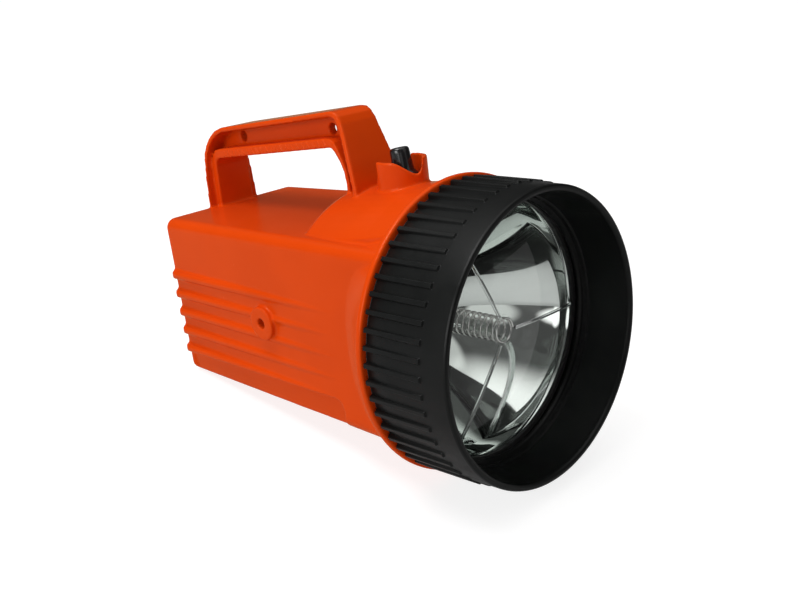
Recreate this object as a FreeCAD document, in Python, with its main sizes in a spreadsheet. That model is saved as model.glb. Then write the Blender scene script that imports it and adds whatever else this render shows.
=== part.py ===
import FreeCAD, Part
import Sketcher
import math
import os
from FreeCAD import Placement, Rotation, Vector

# Hand lantern: moulded box housing with a carrying handle, screw-on bezel, lens, reflector,
# bulb, toggle switch and square battery.
# Frame: origin at the centre of the flat underside, +Z up, beam towards -Y, X across the
# housing with left at -X. Pieces are laid out by (x, setback, height): setback runs back
# (+Y) from the front rim, and height is measured from the optical axis.

doc = FreeCAD.newDocument("lantern")
sheet = doc.addObject("Spreadsheet::Sheet", "dims")
aliases = []


class Quantity:
    """A number together with the expression that gives it from the sheet."""

    def __init__(self, value, text):
        self.value = float(value)
        self.text = text

    def __add__(self, other):
        other = quantity(other)
        return Quantity(self.value + other.value, "(%s + %s)" % (self.text, other.text))

    def __sub__(self, other):
        other = quantity(other)
        return Quantity(self.value - other.value, "(%s - %s)" % (self.text, other.text))

    def __mul__(self, other):
        other = quantity(other)
        return Quantity(self.value * other.value, "(%s * %s)" % (self.text, other.text))

    def __truediv__(self, other):
        other = quantity(other)
        return Quantity(self.value / other.value, "(%s / %s)" % (self.text, other.text))

    def __neg__(self):
        return Quantity(-self.value, "(0 - %s)" % self.text)


def quantity(number):
    """Turn a plain number into a Quantity; a Quantity passes through."""
    return number if isinstance(number, Quantity) else Quantity(number, repr(float(number)))


def dim(alias, value):
    """Write a driving dimension to the next row of the sheet."""
    aliases.append(alias)
    row = len(aliases)
    sheet.set("A%d" % row, alias)
    sheet.set("B%d" % row, repr(float(value)))
    sheet.setAlias("B%d" % row, alias)
    return Quantity(value, "dims." + alias)


# ---- driving dimensions, millimetres ----
axis_height = dim("axis_height", 39.0)  # optical axis above the flat underside
rim_setback = dim("rim_setback", 135.0)  # front rim in front of the origin

# housing box and flare
box_back = dim("box_back", 201.0)  # rear wall behind the front rim
flare_start = dim("flare_start", 80.0)  # where the flare begins, just under the walls
box_front = dim("box_front", 44.2)  # the drafted walls run on to the flange
back_half_width = dim("back_half_width", 40.9)
front_half_width = dim("front_half_width", 46.2)
top_back = dim("top_back", 41.3)  # above the axis
top_front = dim("top_front", 42.4)
corner_rad = dim("corner_rad", 5.0)
wall = dim("wall", 2.5)

# housing flange and spigot
lip_rad = dim("lip_rad", 62.6)
lip_front = dim("lip_front", 40.6)
lip_back = dim("lip_back", 43.6)
neck_rad = dim("neck_rad", 60.2)
spigot_rad = dim("spigot_rad", 57.4)
spigot_bore = dim("spigot_bore", 53.5)
spigot_front = dim("spigot_front", 29.6)

# bezel
rim_rad = dim("rim_rad", 60.0)
rim_bore = dim("rim_bore", 57.0)
rib_top_front = dim("rib_top_front", 61.1)
rib_top_back = dim("rib_top_back", 61.7)
bezel_back_base = dim("bezel_back_base", 59.5)
rib_front = dim("rib_front", 11.6)
rib_width = dim("rib_width", 2.1)
rib_count = dim("rib_count", 56)

# lens and reflector
lens_rad = dim("lens_rad", 56.0)
lens_view_rad = dim("lens_view_rad", 53.2)
lens_face = dim("lens_face", 24.4)
lens_thick = dim("lens_thick", 3.0)
lens_dome = dim("lens_dome", 5.2)
focal_length = dim("focal_length", 16.0)
reflector_apex = dim("reflector_apex", 73.6)
reflector_neck_end = dim("reflector_neck_end", 83.6)
reflector_mouth_rad = dim("reflector_mouth_rad", 52.6)

# ejector spring and battery
ejector_mean_rad = dim("ejector_mean_rad", 5.0)
ejector_wire_rad = dim("ejector_wire_rad", 0.45)
ejector_pitch = dim("ejector_pitch", 3.2)
battery_width = dim("battery_width", 67.0)
battery_length = dim("battery_length", 100.0)
battery_front = dim("battery_front", 97.0)

# toggle, collar, handle and side features
toggle_pivot_setback = dim("toggle_pivot_setback", 69.3)
toggle_pivot_height = dim("toggle_pivot_height", 57.3)
collar_setback = dim("collar_setback", 71.0)
collar_rad = dim("collar_rad", 11.0)
collar_bore = dim("collar_bore", 8.9)
collar_top = dim("collar_top", 68.7)
grip_half_width = dim("grip_half_width", 10.3)
strap_hole_rad = dim("strap_hole_rad", 2.6)
boss_rad = dim("boss_rad", 7.8)
boss_hole_rad = dim("boss_hole_rad", 2.45)
boss_setback = dim("boss_setback", 125.0)
side_rib_rad = dim("side_rib_rad", 2.3)
doc.recompute()

UP, FORWARD, BACK = Vector(0, 0, 1), Vector(0, -1, 0), Vector(0, 1, 0)
RIGHT, LEFT = Vector(1, 0, 0), Vector(-1, 0, 0)
SIDES = ((-1, "left"), (1, "right"))


# ---- placing and binding ----
def spot(x, setback, height):
    """Document position of a plain (x, setback, height)."""
    return Vector(x, -rim_setback.value + setback, axis_height.value + height)


def seat(obj, place=(0, 0, 0)):
    """Put an object's local origin at (x, setback, height), bound to the sheet."""
    x, setback, height = [quantity(p) for p in place]
    base = (x, setback - rim_setback, height + axis_height)
    obj.Placement = Placement(Vector(*[b.value for b in base]), obj.Placement.Rotation)
    for axis, length in zip("xyz", base):
        obj.setExpression("Placement.Base." + axis, length.text)
    return obj


def labelled(kind, label, **sizes):
    """New document object with a label and bound sizes."""
    obj = doc.addObject(kind, label)
    obj.Label = label
    for name, size in sizes.items():
        setattr(obj, name, quantity(size).value)
        obj.setExpression(name, quantity(size).text)
    return obj


def free(label, shape):
    obj = labelled("Part::Feature", label)
    obj.Shape = shape
    return obj


# ---- sketched bodies ----
def new_sketch(body, name, role):
    """Sketch on the body's origin plane that has the given role."""
    sketch = body.newObject("Sketcher::SketchObject", name)
    plane = next(f for f in body.Origin.OriginFeatures if f.Role == role)
    sketch.AttachmentSupport = [(plane, "")]
    sketch.MapMode = "FlatFace"
    return sketch


def bind_constraint(sketch, length, kind, *refs):
    index = sketch.addConstraint(Sketcher.Constraint(kind, *refs, length.value))
    sketch.setExpression("Constraints[%d]" % index, length.text)


def poly_sketch(body, name, role, points):
    """Closed polyline whose every corner is held to the origin by bound distances."""
    sketch = new_sketch(body, name, role)
    points = [(quantity(a), quantity(b)) for a, b in points]
    count = len(points)
    for i in range(count):
        start, end = [Vector(a.value, b.value, 0) for a, b in (points[i], points[(i + 1) % count])]
        sketch.addGeometry(Part.LineSegment(start, end), False)
    for i in range(count):
        sketch.addConstraint(Sketcher.Constraint("Coincident", i, 2, (i + 1) % count, 1))
    for i in range(count):
        # -1 is the horizontal axis and, with point 1, the origin; -2 is the vertical axis
        for k, kind, axis in ((0, "DistanceX", -2), (1, "DistanceY", -1)):
            length = points[i][k]
            if abs(length.value) < 1e-9:
                sketch.addConstraint(Sketcher.Constraint("PointOnObject", i, 1, axis))
            elif length.value > 0:
                bind_constraint(sketch, length, kind, -1, 1, i, 1)
            else:
                bind_constraint(sketch, -length, kind, i, 1, -1, 1)
    return sketch


def revolved(label, role, axis, points, place):
    body = labelled("PartDesign::Body", label)
    sketch = poly_sketch(body, label + "_profile", role, points)
    turn = body.newObject("PartDesign::Revolution", label + "_turn")
    turn.Profile = sketch
    turn.ReferenceAxis = (sketch, [axis])
    turn.Angle = 360.0
    return seat(body, place)


def turned(label, points):
    """Body turned about the optical axis. Points are (setback, radius)."""
    return revolved(label, "YZ_Plane", "H_Axis", points, (0, 0, 0))


def turned_up(label, points, place):
    """Body turned about a vertical axis. Points are (radius, height)."""
    return revolved(label, "XZ_Plane", "V_Axis", points, place)


def padded(label, role, points, depth, place=(0, 0, 0), both_ways=True):
    """Body padded from an origin plane, by half the depth each way unless told otherwise."""
    body = labelled("PartDesign::Body", label)
    sketch = poly_sketch(body, label + "_profile", role, points)
    pad = body.newObject("PartDesign::Pad", label + "_pad")
    pad.Profile = sketch
    pad.Midplane = both_ways
    pad.Length = quantity(depth).value
    pad.setExpression("Length", quantity(depth).text)
    return seat(body, place)


# ---- primitives and booleans ----
def block(label, x_span, setbacks, heights):
    spans = [(quantity(a), quantity(b)) for a, b in (x_span, setbacks, heights)]
    length, width, height = [b - a for a, b in spans]
    box = labelled("Part::Box", label, Length=length, Width=width, Height=height)
    return seat(box, [a for a, b in spans])


def rod(label, radius, length, start, axis):
    """Cylinder that runs from start along axis."""
    cylinder = labelled("Part::Cylinder", label, Radius=radius, Height=length)
    cylinder.Placement = Placement(Vector(0, 0, 0), Rotation(UP, axis))
    return seat(cylinder, start)


def merged(kind, label, parts):
    result = labelled(kind, label)
    result.Shapes = parts
    result.Refine = True
    return result


def fuse(label, parts):
    return merged("Part::MultiFuse", label, parts)


def common(label, parts):
    return merged("Part::MultiCommon", label, parts)


def cut(label, base, tool):
    result = labelled("Part::Cut", label)
    result.Base = base
    result.Tool = tool
    result.Refine = True
    return result


def compound(label, objects):
    """Separate solids gathered in one piece."""
    doc.recompute()
    return free(label, Part.makeCompound([obj.Shape for obj in objects]))


def leaned(label, source, pivot, angle):
    """Copy of a shape turned about the X direction; a negative angle leans its top back."""
    doc.recompute()
    shape = source.Shape.copy()
    shape.rotate(pivot, RIGHT, angle)
    return free(label, shape)


def soft_square(label, half, front, back, radius):
    """Prism of rounded square section along the optical axis."""
    base = block(label + "_block", (-half, half), (front, back), (-half, half))
    doc.recompute()
    fillet = labelled("Part::Fillet", label)
    fillet.Base = base
    half_depth = 0.5 * (quantity(back) - front).value
    fillet.Edges = [
        (i + 1, radius, radius) for i, edge in enumerate(base.Shape.Edges)
        if abs(edge.Vertexes[0].Point.y - edge.Vertexes[1].Point.y) > half_depth]
    return fillet


def coil(label, mean, wire_rad, pitch, height, start, along):
    """Round wire coil that runs from start in the direction along."""
    path = labelled("Part::Helix", label + "_path", Radius=mean, Pitch=pitch, Height=height)
    turn = Rotation(UP, along)
    centre = spot(*[quantity(p).value for p in start])
    path.Placement = Placement(centre, turn)
    # the wire section stands across the start of the helix
    section = labelled("Part::Circle", label + "_wire", Radius=wire_rad)
    offset = turn.multVec(Vector(quantity(mean).value, 0, 0))
    across = turn.multiply(Rotation(Vector(1, 0, 0), 90.0))
    section.Placement = Placement(centre + offset, across)
    sweep = labelled("Part::Sweep", label)
    sweep.Sections = [section]
    doc.recompute()
    sweep.Spine = (path, ["Edge%d" % (i + 1) for i in range(len(path.Shape.Edges))])
    sweep.Solid = True
    sweep.Frenet = True
    return sweep


# ================= housing =================
INNER_BOX_FRONT = 69.0

# rounded rectangle at the flare's rear end
FLARE_HALF_WIDTH = 44.0
FLARE_TOP = 41.0
FLARE_BOTTOM = 0.9 - axis_height.value
FLARE_POWER = 2.3  # how late the section opens out to the circle
FLARE_STATIONS = (0.0, 0.3, 0.6, 0.8, 1.0)  # fractions of the flare's length
SIDE_STEPS = 7
CORNER_STEPS = 6


def wall_at(rear, front, setback):
    """Value at a setback of a size that changes evenly along the drafted walls."""
    return rear + (front - rear) * (box_back - setback) / (box_back - box_front)


def half_width_at(setback):
    return wall_at(back_half_width, front_half_width, setback)


def rounded_rectangle_sketch(body, name, setback, inset):
    """Section of the drafted box, set in from its outer face."""
    sketch = new_sketch(body, name, "XZ_Plane")
    offset = -quantity(setback)
    sketch.AttachmentOffset = Placement(Vector(0, 0, offset.value), Rotation())
    sketch.setExpression("AttachmentOffset.Base.z", offset.text)
    half_width = half_width_at(setback) - inset
    top = wall_at(top_back, top_front, setback) - inset
    drop = axis_height - inset + 0.05
    radius = corner_rad - quantity(inset) * 0.6
    w, t, b, r = half_width.value, top.value, -drop.value, radius.value
    # lines 0 to 3: top, right, bottom, left
    ends = (
        ((-w + r, t), (w - r, t)), ((w, t - r), (w, b + r)),
        ((w - r, b), (-w + r, b)), ((-w, b + r), (-w, t - r)))
    geometry = [Part.LineSegment(Vector(*p, 0), Vector(*q, 0)) for p, q in ends]
    # arcs 4 to 7: top right, bottom right, bottom left, top left
    corners = (
        (w - r, t - r, 0), (w - r, b + r, -math.pi / 2),
        (-w + r, b + r, math.pi), (-w + r, t - r, math.pi / 2))
    for x, y, start in corners:
        circle = Part.Circle(Vector(x, y, 0), UP, r)
        geometry.append(Part.ArcOfCircle(circle, start, start + math.pi / 2))
    sketch.addGeometry(geometry, False)
    constraint = Sketcher.Constraint
    links = []
    for i in range(4):
        links.append(constraint("Tangent", i, 2, i + 4, 2))
        links.append(constraint("Tangent", i + 4, 1, (i + 1) % 4, 1))
    links += [constraint("Horizontal", 0), constraint("Vertical", 1)]
    links += [constraint("Equal", i, i + 1) for i in (4, 5, 6)]
    sketch.addConstraint(links)
    bind_constraint(sketch, half_width, "DistanceX", -1, 1, 1, 1)
    bind_constraint(sketch, half_width, "DistanceX", 3, 1, -1, 1)
    bind_constraint(sketch, top, "DistanceY", -1, 1, 0, 1)
    bind_constraint(sketch, drop, "DistanceY", 2, 1, -1, 1)
    bind_constraint(sketch, radius, "Radius", 4)
    return sketch


def drafted_box(label, inset, back, front):
    """Box lofted between two rounded-rectangle sketches."""
    body = labelled("PartDesign::Body", label)
    rear_sketch = rounded_rectangle_sketch(body, label + "_rear", back, inset)
    front_sketch = rounded_rectangle_sketch(body, label + "_front", front, inset)
    loft = body.newObject("PartDesign::AdditiveLoft", label + "_loft")
    loft.Profile = rear_sketch
    loft.Sections = [front_sketch]
    loft.Ruled = True
    return seat(body)


def flare_base_points():
    """Points (x, height) round the flare's rear section, anticlockwise from the right side."""
    w, top, bottom, r = FLARE_HALF_WIDTH, FLARE_TOP, FLARE_BOTTOM, corner_rad.value
    corners = [
        (w - r, top - r, 0), (-w + r, top - r, 90),
        (-w + r, bottom + r, 180), (w - r, bottom + r, 270)]

    def on_corner(corner, turn):
        x, z, start = corner
        angle = math.radians(start + turn)
        return x + r * math.cos(angle), z + r * math.sin(angle)

    points = []
    for i, corner in enumerate(corners):
        points += [on_corner(corner, 15 * k) for k in range(CORNER_STEPS + 1)]
        a, b = points[-1], on_corner(corners[(i + 1) % 4], 0)
        for k in range(1, SIDE_STEPS):
            points.append(tuple(a[j] + (b[j] - a[j]) * k / float(SIDE_STEPS) for j in (0, 1)))
    return points


def outer_flare():
    """Trumpet from the box's rounded rectangle to the round neck at the flange."""
    back, front = flare_start.value, lip_back.value - 0.4
    base = flare_base_points()
    wires = []
    for fraction in FLARE_STATIONS:
        blend = fraction ** FLARE_POWER
        points = []
        for x, z in base:
            angle = math.atan2(z, x)
            points.append(spot(
                x * (1 - blend) + neck_rad.value * math.cos(angle) * blend,
                back + (front - back) * fraction,
                z * (1 - blend) + neck_rad.value * math.sin(angle) * blend))
        curve = Part.BSplineCurve()
        curve.interpolate(Points=points, PeriodicFlag=True)
        wires.append(Part.Wire([curve.toShape()]))
    return free("outer_flare", Part.makeLoft(wires, True, False))


def inner_bell():
    """Round hollow behind the spigot, narrowing towards the box."""
    front = spigot_front - 1.0
    return turned("inner_bell", [
        (front, 0), (front, spigot_bore), (46.6, spigot_bore), (50.0, 48.9), (54.0, 45.0),
        (58.0, 41.6), (66.0, 38.0), (72.0, 36.0), (72.0, 0)])


def flange():
    """Spigot and the lip behind it."""
    return turned("flange", [
        (spigot_front, 0), (spigot_front, spigot_rad - 0.6), (spigot_front + 0.6, spigot_rad),
        (lip_front, spigot_rad), (lip_front, lip_rad - 0.5), (lip_front + 0.5, lip_rad),
        (lip_back - 0.5, lip_rad), (lip_back, lip_rad - 0.5), (lip_back, 0)])


def hump():
    """Round hump over the reflector, carrying the handle's front leg and the switch collar."""
    full = turned("hump_full", [
        (42.5, 0), (42.5, 60.0), (46.0, 60.0), (50.0, 59.4), (58.0, 58.3), (70.0, 57.4),
        (86.0, 56.0), (96.0, 55.0), (98.2, 54.2), (99.6, 52.6), (103.0, 44.0), (103.0, 0)])
    box = block("hump_box", (-37.6, 37.6), (42.5, 103.0), (20.0, 65.0))
    return common("hump", [full, box])


def hump_hollow():
    full = turned("hump_hollow_full", [
        (44.5, 0), (44.5, 57.2), (50.0, 56.9), (58.0, 55.9), (70.0, 54.9), (86.0, 53.4),
        (95.6, 52.4), (99.6, 44.0), (99.6, 0)])
    box = block("hump_hollow_box", (-35.0, 35.0), (44.5, 99.6), (18.0, 62.0))
    return common("hump_hollow", [full, box])


SIDE_RIB_HEIGHTS = (13.4, 3.5, -6.3, -16.1, -25.8)
SIDE_RIB_X = 42.95
SIDE_RIB_FRONT = 74.0
SIDE_RIB_LENGTH = 126.9
SIDE_RIB_TURN = 0.6095  # degrees the rib bar leans outwards, following the draft
# (distance from the middle, setback), rounding off the rear end of a rib
SIDE_RIB_TRIM = [
    (36.0, 200.6), (41.9, 200.6), (42.9, 200.1), (43.6, 199.2), (44.0, 197.8),
    (46.5, 73.9), (36.0, 73.9)]
BOSS_HEIGHT = 0.8
BOSS_START = 34.4  # distance from the middle


def side_features():
    """Five ribs and a round boss on each side wall."""
    parts = []
    for sign, side in SIDES:
        for i, height in enumerate(SIDE_RIB_HEIGHTS):
            bar = labelled(
                "Part::Prism", "rib_bar_%s_%d" % (side, i),
                Circumradius=side_rib_rad, Height=SIDE_RIB_LENGTH)
            bar.Polygon = 12
            bar.FirstAngle = -sign * SIDE_RIB_TURN
            bar.Placement = Placement(Vector(0, 0, 0), Rotation(Vector(1, 0, 0), -90.0))
            seat(bar, (sign * SIDE_RIB_X, SIDE_RIB_FRONT, height))
            outline = [(sign * x, setback) for x, setback in SIDE_RIB_TRIM]
            trim = padded(
                "rib_trim_%s_%d" % (side, i), "XY_Plane", outline, 6.0, (0, 0, height))
            parts.append(common("rib_%s_%d" % (side, i), [bar, trim]))
        boss = labelled(
            "Part::Cone", "boss_" + side,
            Radius1=boss_rad + 0.5, Radius2=boss_rad, Height=12.0)
        boss.Placement = Placement(Vector(0, 0, 0), Rotation(UP, Vector(sign, 0, 0)))
        parts.append(seat(boss, (sign * BOSS_START, boss_setback, BOSS_HEIGHT)))
    return parts


# handle in the side view, (setback, height), each line from the rear leg over to the front leg
STRAP_OUTER = [
    (201.2, 36.0), (201.2, 60.0), (200.9, 64.5), (199.8, 69.0), (197.6, 73.6), (194.2, 77.4),
    (190.0, 80.2), (185.0, 81.7), (102.0, 89.3), (98.6, 89.0), (96.0, 87.2), (94.2, 84.0),
    (92.3, 78.5), (88.8, 67.5), (86.4, 59.0), (85.3, 54.0), (85.0, 45.0)]
STRAP_INNER = [
    (198.9, 36.0), (198.9, 60.0), (198.6, 64.0), (197.6, 68.2), (195.6, 72.2), (192.6, 75.6),
    (189.0, 78.0), (184.6, 79.5), (102.3, 87.0), (99.8, 86.6), (98.2, 85.4), (96.5, 82.6),
    (94.6, 77.2), (91.1, 66.6), (88.8, 58.6), (87.7, 54.0), (87.4, 45.0)]
OPENING = [
    (195.6, 36.0), (195.6, 44.0), (194.6, 62.5), (193.9, 64.6), (192.4, 65.9), (190.4, 66.3),
    (104.6, 73.6), (103.0, 73.3), (101.6, 72.0), (98.6, 67.6), (97.0, 63.5), (96.3, 58.5),
    (96.6, 54.0), (98.2, 50.5), (98.2, 45.0)]
OPENING_STRAP_BACK = [
    (198.6, 36.0), (198.6, 44.0), (198.0, 63.5), (196.6, 67.8), (194.2, 70.2), (191.0, 70.9),
    (108.0, 77.6), (104.0, 77.5), (101.2, 76.3), (99.3, 73.2), (96.6, 67.4), (95.1, 63.0),
    (94.4, 58.4), (94.6, 54.0), (94.8, 50.5), (94.8, 45.0)]
# strap from the front, (half width, height), from the root up to the grip
STRAP_SIDE = [
    (14.6, 30.0), (14.6, 48.0), (14.2, 56.0), (12.8, 68.0), (10.9, 80.0),
    (grip_half_width, 86.0), (grip_half_width, 95.0)]


def handle():
    """Wide outer strap, narrower strap round the opening, and the thin web between them."""
    wide = padded("outer_strap_wide", "YZ_Plane", STRAP_OUTER + STRAP_INNER[::-1], 34.0)
    # starts at the lower left corner and goes round by the right
    left = [(-half, height) for half, height in STRAP_SIDE]
    outline = left[:1] + STRAP_SIDE + left[:0:-1]
    sides = padded("strap_sides", "XZ_Plane", outline, 400.0)
    outer = common("outer_strap", [wide, sides])
    inner = padded("inner_strap", "YZ_Plane", OPENING + OPENING_STRAP_BACK[::-1], 20.0)
    web = padded("web", "YZ_Plane", STRAP_INNER + OPENING[::-1], 4.4)
    return [outer, inner, web]


def handle_holes():
    return [
        rod("hole_front", strap_hole_rad, 30.0, (-15.0, 109.6, 80.6), RIGHT),
        rod("hole_rear", strap_hole_rad, 30.0, (-15.0, 178.0, 76.3), RIGHT)]


COLLAR_ROOT = 50.0


def collar():
    """Round guard on the hump, cut away so that a thumb reaches the lever."""
    tube = rod(
        "collar_tube", collar_rad, collar_top - COLLAR_ROOT,
        (0, collar_setback, COLLAR_ROOT), UP)
    near_cut = padded("near_cut", "XZ_Plane", [
        (-14.0, 68.4), (-3.6, 68.4), (-1.0, 67.2), (4.4, 63.2), (6.0, 62.5), (7.2, 62.8),
        (8.1, 64.2), (8.6, 67.0), (8.8, 76.0), (-14.0, 76.0)], 14.0, both_ways=False)
    near_cut.Placement = Placement(Vector(0, 0, 0), Rotation(UP, -45.0))
    seat(near_cut, (0, collar_setback, 0))
    far_cut = padded("far_cut", "XY_Plane", [
        (0, 0), (-14.0, 9.0), (-14.0, 20.0), (20.0, 20.0), (20.0, 7.0)],
        20.0, (0, collar_setback, 61.2), both_ways=False)
    return cut("collar", tube, fuse("collar_cuts", [near_cut, far_cut]))


# band in the side view, (setback, height)
BAND = [
    (64.0, -50.0), (64.0, -50.5), (198.0, -50.5), (198.0, -31.0), (197.0, -28.4),
    (194.0, -27.4), (81.0, -26.0), (77.4, -27.4), (76.2, -31.0), (76.5, -36.0), (77.5, -50.0)]
# section outside the band's leaning face, (distance from the middle, height) at the rear
LEAN_SECTION = [
    (40.75, -22.0), (40.25, -28.6), (38.9, -39.0), (37.4, -50.0), (60.0, -50.0), (60.0, -22.0)]
LEAN_BACK, LEAN_FRONT = 215.0, 68.0
LEAN_SHIFT = 3.1  # how far the leaning face moves outwards from back to front
FILL_BACK, FILL_FRONT = 188.0, 71.0


def sheared_prism(label, sign, section, back, front, shift):
    """Prism from a section at the back, moving outwards by shift on its way to the front."""
    corners = [spot(sign * x, back, height) for x, height in section + section[:1]]
    face = Part.Face(Part.makePolygon(corners))
    return free(label, face.extrude(Vector(sign * shift, front - back, 0)))


def lower_bands():
    """(band, leaning solid) pairs; each overlap is let into a side wall at the bottom edge."""
    pairs = []
    for sign, side in SIDES:
        place = (30.0 if sign > 0 else -70.0, 0, 0)
        band = padded("band_" + side, "YZ_Plane", BAND, 40.0, place, both_ways=False)
        lean = sheared_prism(
            "band_lean_solid_" + side, sign, LEAN_SECTION, LEAN_BACK, LEAN_FRONT, LEAN_SHIFT)
        pairs.append((band, lean))
    return pairs


def corner_fills():
    """Thickening along each lower inner corner behind the band, inside the drafted wall."""
    x = half_width_at(FILL_BACK).value - 0.9
    section = [
        (x, -23.5), (x, -34.5), (x - 3.0, -37.4), (x - 6.9, -37.4), (x - 6.9, -36.2), (x, -23.5)]
    shift = half_width_at(FILL_FRONT).value - half_width_at(FILL_BACK).value
    return [
        sheared_prism("corner_fill_" + side, sign, section[:-1], FILL_BACK, FILL_FRONT, shift)
        for sign, side in SIDES]


def side_rods(prefix, radius, length, start_x):
    """A rod outwards on each side, at the boss's place."""
    return [
        rod(prefix + side, radius, length, (sign * start_x, boss_setback, BOSS_HEIGHT), axis)
        for (sign, side), axis in zip(SIDES, (LEFT, RIGHT))]


def housing():
    outer_box = drafted_box("outer_box", 0, box_back, box_front)
    inner_box = drafted_box("inner_box", wall, box_back - wall, INNER_BOX_FRONT)
    added = [outer_flare(), hump(), flange()] + handle() + [collar()] + side_features()
    collar_inner = rod("collar_inner", collar_bore, 30.0, (0, collar_setback, 57.4), UP)
    bush_hole = rod("bush_hole", 4.05, 10.0, (0, toggle_pivot_setback, 50.0), UP)
    hollows = [inner_box, inner_bell(), hump_hollow(), collar_inner]
    hollows += handle_holes() + [bush_hole]
    fills = corner_fills()
    bands = lower_bands()
    # the underside is planed flat to rest on
    underside = block("underside_plane", (-60.0, 60.0), (84.0, 215.0), (-45.0, -39.0))
    # the bosses run through to the inside as blind pillars, clear of the battery
    pillars = side_rods("pillar_", 5.0, 5.2, 36.4)
    boss_bores = side_rods("boss_bore_", boss_hole_rad, 10.0, 38.4)
    doc.recompute()

    # solids are joined and hollowed one after another, because a single many-way boolean
    # of the flare and the drafted walls is not sound
    moulding = outer_box.Shape
    for part in added:
        moulding = moulding.fuse(part.Shape)
    for hollow in hollows:
        moulding = moulding.cut(hollow.Shape)
    for fill in fills:
        moulding = moulding.fuse(fill.Shape)
    for band, lean in bands:
        moulding = moulding.cut(band.Shape.common(lean.Shape))
    moulding = moulding.cut(underside.Shape)
    for pillar in pillars:
        moulding = moulding.fuse(pillar.Shape)
    for bore in boss_bores:
        moulding = moulding.cut(bore.Shape)
    return free("housing", moulding.Solids[0])


# ================= bezel =================
def filleted_bezel_rib():
    """Grip rib at the top of the bezel, its two long outer edges rounded."""
    rib = padded("bezel_rib", "YZ_Plane", [
        (rib_front, 59.0), (rib_front, rib_top_front - 0.35), (rib_front + 0.5, rib_top_front),
        (39.8, rib_top_back), (40.2, rib_top_back - 0.35), (40.2, 58.6)], rib_width)
    doc.recompute()
    shape = rib.Shape.copy()
    lowest = axis_height.value + 60.9

    def on_outer_edge(vertex):
        on_side = abs(abs(vertex.Point.x) - rib_width.value / 2) < 1e-3
        return on_side and vertex.Point.z > lowest

    edges = [e for e in shape.Edges if all(map(on_outer_edge, e.Vertexes)) and e.Length > 20.0]
    return shape.makeFillet(0.55, edges)


def bezel_ring():
    spigot_clear = spigot_rad + 0.35
    lens_clear = lens_rad + 0.3
    core = turned("bezel_core", [
        # outside and back face
        (1.0, rim_rad), (rib_front, rim_rad + 0.35), (40.0, bezel_back_base),
        (40.3, bezel_back_base - 0.3), (40.3, spigot_clear),
        # inside, from the back to the lens seat
        (28.9, spigot_clear), (28.9, lens_clear), (lens_face, lens_clear),
        (lens_face, lens_view_rad), (lens_face - 0.7, lens_view_rad - 0.1),
        # in front of the lens, out to the rim
        (22.6, lens_view_rad + 0.5), (22.3, 55.0), (20.4, 55.1), (20.1, 55.9), (19.2, 56.0),
        (1.2, rim_bore), (0.35, rim_bore + 0.45), (0.0, rim_bore + 1.3),
        (0.0, rim_rad - 0.9), (0.3, rim_rad - 0.25)])
    first_rib = filleted_bezel_rib()
    count = int(rib_count.value)
    ribs = []
    for i in range(count):
        rib = first_rib.copy()
        rib.rotate(Vector(0, 0, axis_height.value), BACK, 360.0 * (i + 0.5) / count)
        ribs.append(rib)
    return free("bezel_ring", core.Shape.fuse(ribs).removeSplitter())


# ================= lens, gasket, seal, reflector =================
CROWN_RAD = 52.0  # the crown reaches the flat rim here
CROWN_THICK = 2.6


def dome(radius, behind=0.0):
    """Setback of the gently crowned lens face at a radius, or of a surface behind it."""
    rise = quantity(radius * radius / CROWN_RAD ** 2 - 1.0) * lens_dome
    return lens_face + 0.05 + rise + behind


def dome_points(radii, behind=0.0):
    return [(dome(r, behind), r) for r in radii]


def lens():
    """Crowned disc with a small ring at the middle of its back and three radial ribs."""
    front = dome_points((0, 6.0, 12.0, 18.0, 24.0, 30.0, 36.0, 42.0, 47.0, CROWN_RAD))
    back_edge = lens_face + lens_thick
    rim = [
        (lens_face + 0.05, lens_rad - 0.4), (lens_face + 0.45, lens_rad),
        (back_edge, lens_rad), (back_edge, 52.3)]
    back = dome_points((51.4, 46.5, 41.5, 36.0, 30.0, 24.0, 18.0, 12.0, 6.6), CROWN_THICK)
    ring = [(23.6, 6.5), (23.6, 5.8)] + dome_points((5.7, 0), CROWN_THICK)
    parts = [turned("lens_disc", front + rim + back + ring)]
    rib_outline = (
        dome_points((6.2, 14.0, 22.0, 30.0, 38.0, 46.0, 51.4), 2.4)
        + [(dome(51.4, 2.7), 51.4), (dome(49.5, 3.8), 49.5)]
        + dome_points((44.0, 38.0, 30.0, 22.0, 14.0, 6.2), 3.85))
    for i, angle in enumerate((114.0, -6.0, 234.0)):
        rib = padded("lens_rib_%d" % i, "YZ_Plane", rib_outline, 1.5)
        rib.Placement = Placement(Vector(0, 0, 0), Rotation(FORWARD, angle - 90.0))
        parts.append(seat(rib))
    return fuse("lens", parts)


def lens_gasket():
    return turned("lens_gasket", [(27.45, 53.7), (27.45, 56.0), (28.45, 56.0), (28.45, 53.7)])


def flange_seal():
    inner = spigot_rad + 0.05
    return turned("flange_seal", [
        (40.35, inner), (40.35, 59.2), (lip_front, 59.4), (lip_front, inner)])


def parabola(radius, behind=0.0):
    """Setback of the reflecting surface at a radius, or of a surface behind it."""
    return reflector_apex - quantity(radius * radius / 4.0) / focal_length + behind


def reflector():
    """Parabolic shell with a mouth flange in front and a neck behind."""
    front_radii = (7.9, 12.0, 16.0, 20.0, 24.0, 28.0, 32.0, 36.0, 40.0, 44.0, 48.0, 50.5)
    back_radii = (50.0, 46.0, 41.0, 36.0, 31.0, 26.0, 21.0, 16.0, 12.4)
    front = [(parabola(r), r) for r in front_radii]
    mouth = [
        (28.5, reflector_mouth_rad), (28.5, 55.8), (29.5, 55.8),
        (29.5, reflector_mouth_rad + 0.7)]
    back = [(parabola(r, 1.5), r + 0.6) for r in back_radii]
    neck = [
        (parabola(12.4, 1.5) + 1.0, 10.6), (reflector_neck_end, 10.6),
        (reflector_neck_end, 7.9)]
    return turned("reflector", front + mouth + back + neck)


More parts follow.
